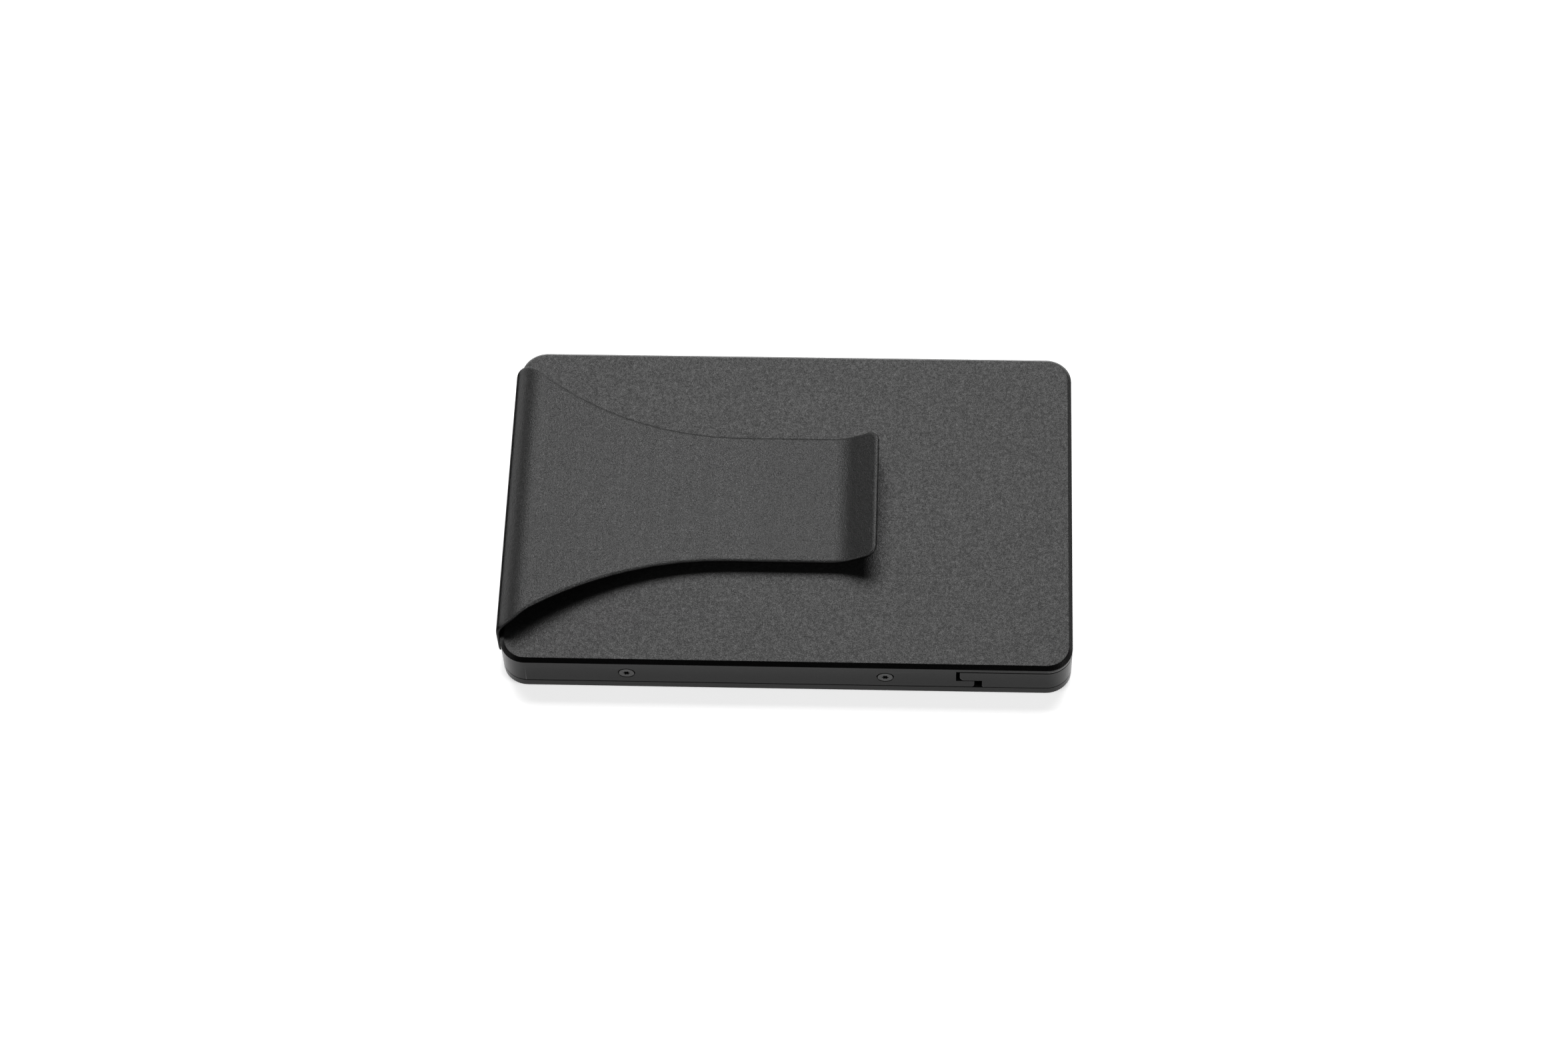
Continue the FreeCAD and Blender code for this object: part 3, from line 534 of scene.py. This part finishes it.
def inward_normals(loop):
    # Unit normals that point into the metal: the outline runs clockwise in (s, w), and a hole
    # the other way round.
    normals = []
    for i, point in enumerate(loop):
        before, after = loop[i - 1], loop[(i + 1) % len(loop)]
        along = Vector((after[0] - before[0], after[1] - before[1])).normalized()
        normals.append((along.y, -along.x))
    return normals


def edge_rings(loop, profile):
    # Rings of (s, w, h) that carry a loop from one face of the blank to the other. The profile
    # is a list of (distance into the metal, h).
    placed = list(zip(loop, inward_normals(loop)))
    return [[(s + n[0] * inset, w + n[1] * inset, h) for (s, w), n in placed] for inset, h in profile]


def rounded_rim():
    # Rolled-over edge of a blanked sheet: an elliptical rounding, wider than it is deep.
    half = SHEET_T / 2
    rim = []
    for i in range(RIM_STEPS + 1):
        a = math.pi / 2 * (1 - i / RIM_STEPS)
        rim.append((RIM_IN * (1 - math.cos(a)), half - RIM_DOWN + RIM_DOWN * math.sin(a)))
    return rim + [(inset, -h) for inset, h in reversed(rim)]


def screw_sink():
    # Straight hole for a flush screw head, with a hair of chamfer at the outer face.
    half = SHEET_T / 2
    return [(-SCREW_HOLE_CHAMFER, half), (0.0, half - SCREW_HOLE_CHAMFER), (0.0, -half)]


def hole_loop(side):
    # Circle round the screw on one side of the web, as (s, w).
    angles = [2 * math.pi * i / SCREW_HOLE_SIDES for i in range(SCREW_HOLE_SIDES)]
    return [(SCREW_Z - WEB_LOW.z + SCREW_HOLE_R * math.cos(a), side * SCREW_Y + SCREW_HOLE_R * math.sin(a))
            for a in angles]


def close_face(bm, loops, up):
    # Fills a face of the blank between its outline and its holes.
    edges = []
    for loop in loops:
        for i, vertex in enumerate(loop):
            other = loop[(i + 1) % len(loop)]
            edges.append(bm.edges.get((vertex, other)))
    bmesh.ops.triangle_fill(bm, edges=edges, use_beauty=True, normal=(0, 0, 1 if up else -1))


def cut_stations(bm):
    # Cuts the flat blank across at every station, so that it can follow the profile.
    for run, _, _, _ in PROFILE[1:-1]:
        bmesh.ops.bisect_plane(bm, geom=bm.verts[:] + bm.edges[:] + bm.faces[:], dist=CUT_REACH,
                               plane_co=(run, 0, 0), plane_no=(1, 0, 0))
    bmesh.ops.recalc_face_normals(bm, faces=bm.faces[:])


def bend_blank(bm):
    # Lays the flat blank on the side profile, with its outer face on the profile.
    for vertex in bm.verts:
        s, w, h = vertex.co
        index = 0
        while index < len(PROFILE) - 2 and PROFILE[index + 1][0] < s:
            index += 1
        run_a, x_a, z_a, turn_a = PROFILE[index]
        run_b, x_b, z_b, turn_b = PROFILE[index + 1]
        share = (s - run_a) / (run_b - run_a)
        heading = turn_a + (turn_b - turn_a) * share
        depth = h - SHEET_T / 2
        x = x_a + (x_b - x_a) * share - depth * math.sin(heading)
        z = z_a + (z_b - z_a) * share + depth * math.cos(heading)
        vertex.co = (x, w, z)
    bmesh.ops.recalc_face_normals(bm, faces=bm.faces[:])


def make_clip_sheet():
    # One bent sheet: the web, screwed to the end of the case, the tongue over the plate and the lip.
    bm = bmesh.new()
    outer_top, outer_bottom = add_wall(bm, edge_rings(blank_outline(), rounded_rim()))
    tops, bottoms = [outer_top], [outer_bottom]
    for side in (1.0, -1.0):
        top, bottom = add_wall(bm, edge_rings(hole_loop(side), screw_sink()))
        tops.append(top)
        bottoms.append(bottom)
    close_face(bm, tops, True)
    close_face(bm, bottoms, False)
    cut_stations(bm)
    bend_blank(bm)
    sheet = piece_from(bm, "clip_sheet", "clip_coat")
    normals = sheet.modifiers.new("normals", "WEIGHTED_NORMAL")
    normals.keep_sharp = True
    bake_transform(sheet)
    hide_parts("clip_anchor", "clip_spring_arm")


# ---- lever spring ------------------------------------------------------------

WIRE_R = 0.2 * MM
WIRE_SIDES = 12
COIL_R = 1.75 * MM
COIL_H = 1.625 * MM
COIL_TURNS = 3.25
STEPS_A_TURN = 32
LEG_BEND_R = 0.6 * MM
LEG_BEND_STEPS = 8
PIVOT = (PIVOT_LOW + PIVOT_HIGH) / 2
COIL_TOP_Z = SPRING_HIGH.z - WIRE_R
COIL_FOOT_Z = COIL_TOP_Z - COIL_H


def spring_line():
    # Middle of the wire: up out of the bottom plate, along the fixed leg and round the coil.
    leg_x = PIVOT.x - COIL_R
    leg_y = SPRING_HIGH.y - WIRE_R
    points = [Vector((leg_x, leg_y, SPRING_LOW.z))]
    for i in range(LEG_BEND_STEPS + 1):
        a = math.pi / 2 * i / LEG_BEND_STEPS
        y = leg_y - LEG_BEND_R * (1 - math.cos(a))
        z = COIL_FOOT_Z - LEG_BEND_R * (1 - math.sin(a))
        points.append(Vector((leg_x, y, z)))
    steps = round(COIL_TURNS * STEPS_A_TURN)
    for i in range(steps + 1):
        a = math.pi + 2 * math.pi * COIL_TURNS * i / steps
        x = PIVOT.x + COIL_R * math.cos(a)
        y = PIVOT.y + COIL_R * math.sin(a)
        points.append(Vector((x, y, COIL_FOOT_Z + COIL_H * i / steps)))
    return points


def wire_rings(points):
    # Rings round the line, carried from point to point without twist.
    across = Vector((1, 0, 0))
    turns = [2 * math.pi * k / WIRE_SIDES for k in range(WIRE_SIDES)]
    rings = []
    for i, point in enumerate(points):
        along = (points[min(i + 1, len(points) - 1)] - points[max(i - 1, 0)]).normalized()
        across = (across - along * across.dot(along)).normalized()
        other = along.cross(across)
        rings.append([point + across * WIRE_R * math.cos(t) + other * WIRE_R * math.sin(t) for t in turns])
    return rings


def make_spring_wire():
    # The coil twists between its fixed leg and the leg that follows the lever.
    bm = bmesh.new()
    coil = spring_line()
    tail_end = Vector((SPRING_LOW.x, SPRING_LOW.y + WIRE_R, COIL_TOP_Z))
    for line in (coil, [coil[-1], tail_end]):
        first, last = add_wall(bm, wire_rings(line))
        bm.faces.new(first)
        bm.faces.new(last)
    bmesh.ops.recalc_face_normals(bm, faces=bm.faces[:])
    wire = piece_from(bm, "lever_spring_wire", "spring_steel")
    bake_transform(wire)
    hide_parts("lever_spring")


# ---- room --------------------------------------------------------------------

FLOOR_HALF = 2.0
FLOOR_GAP = 0.02 * MM
FLOOR_GLOW = 0.48
WORLD_LIGHT = 0.06

# Soft lamps that all aim at the origin: (name, place, (width, height), power in watts).
LAMPS = [
    ("back_key", (-0.04, 0.62, 1.0), (1.0, 0.6), 16.5),
    ("left_fill", (-0.95, -0.45, 0.38), (0.5, 0.35), 5.0),
    ("right_fill", (0.95, -0.45, 0.38), (0.5, 0.35), 8.0),
]


def make_floor():
    # A large pale sheet that glows a little, so that it stays near white.
    mesh = bpy.data.meshes.new("floor")
    signs = ((-1, -1), (1, -1), (1, 1), (-1, 1))
    mesh.from_pydata([(FLOOR_HALF * x, FLOOR_HALF * y, 0) for x, y in signs], [], [(0, 1, 2, 3)])
    floor = bpy.data.objects.new("floor", mesh)
    floor.location.z = CAD_LOW.z - FLOOR_GAP
    bpy.context.scene.collection.objects.link(floor)
    material, tree, shader, coords = new_material("pale_floor")
    tone = noise(tree, coords.outputs["Object"], 6.0)
    tree.links.new(grey_ramp(tree, tone, [(0.3, 0.82), (0.7, 0.86)]), shader.inputs["Base Color"])
    shader.inputs["Roughness"].default_value = 0.8
    shader.inputs["Specular IOR Level"].default_value = 0.2
    shader.inputs["Emission Color"].default_value = (1.0, 1.0, 1.0, 1.0)
    shader.inputs["Emission Strength"].default_value = FLOOR_GLOW
    mesh.materials.append(material)


def soft_light(name, place, size, power):
    light = bpy.data.lights.new(name, "AREA")
    light.shape = "RECTANGLE"
    light.size = size[0]
    light.size_y = size[1]
    light.energy = power
    lamp = bpy.data.objects.new(name, light)
    lamp.location = place
    lamp.rotation_euler = (-Vector(place)).to_track_quat("-Z", "Y").to_euler()
    bpy.context.scene.collection.objects.link(lamp)


def make_lights():
    # A dim even surround and the soft lamps.
    world = bpy.data.worlds.new("studio")
    world.use_nodes = True
    background = world.node_tree.nodes["Background"]
    background.inputs["Color"].default_value = (1.0, 1.0, 1.0, 1.0)
    background.inputs["Strength"].default_value = WORLD_LIGHT
    bpy.context.scene.world = world
    for name, place, size, power in LAMPS:
        soft_light(name, place, size, power)


def make_camera():
    # back points from the aim to the camera; roll turns the camera about it.
    azimuth = math.radians(CAMERA_AZIMUTH)
    elevation = math.radians(CAMERA_ELEVATION)
    roll = math.radians(CAMERA_ROLL)
    run = math.cos(elevation)
    back = Vector((math.sin(azimuth) * run, -math.cos(azimuth) * run, math.sin(elevation)))
    level_right = (-back).cross(Vector((0, 0, 1))).normalized()
    level_up = level_right.cross(-back)
    right = level_right * math.cos(roll) + level_up * math.sin(roll)
    up = level_up * math.cos(roll) - level_right * math.sin(roll)
    camera_data = bpy.data.cameras.new("camera")
    camera_data.lens = CAMERA_LENS
    camera_data.sensor_width = 36.0
    camera_data.clip_start = 0.01
    camera_data.clip_end = 20.0
    camera = bpy.data.objects.new("camera", camera_data)
    place = CAMERA_AIM + back * CAMERA_DISTANCE
    turn = Matrix((right, up, back)).transposed().to_4x4()
    camera.matrix_world = Matrix.Translation(place) @ turn
    bpy.context.scene.collection.objects.link(camera)
    bpy.context.scene.camera = camera


dress_cad_nodes()
below_sharp = smoothing_nodes(SHARP_ANGLE)
for edged, rounding in EDGE_ROUNDINGS.items():
    soften_edges(edged, rounding, below_sharp)
make_clip_sheet()
make_spring_wire()
make_floor()
make_lights()
make_camera()
bpy.context.scene.view_settings.view_transform = "Standard"

bpy.context.view_layer.update()
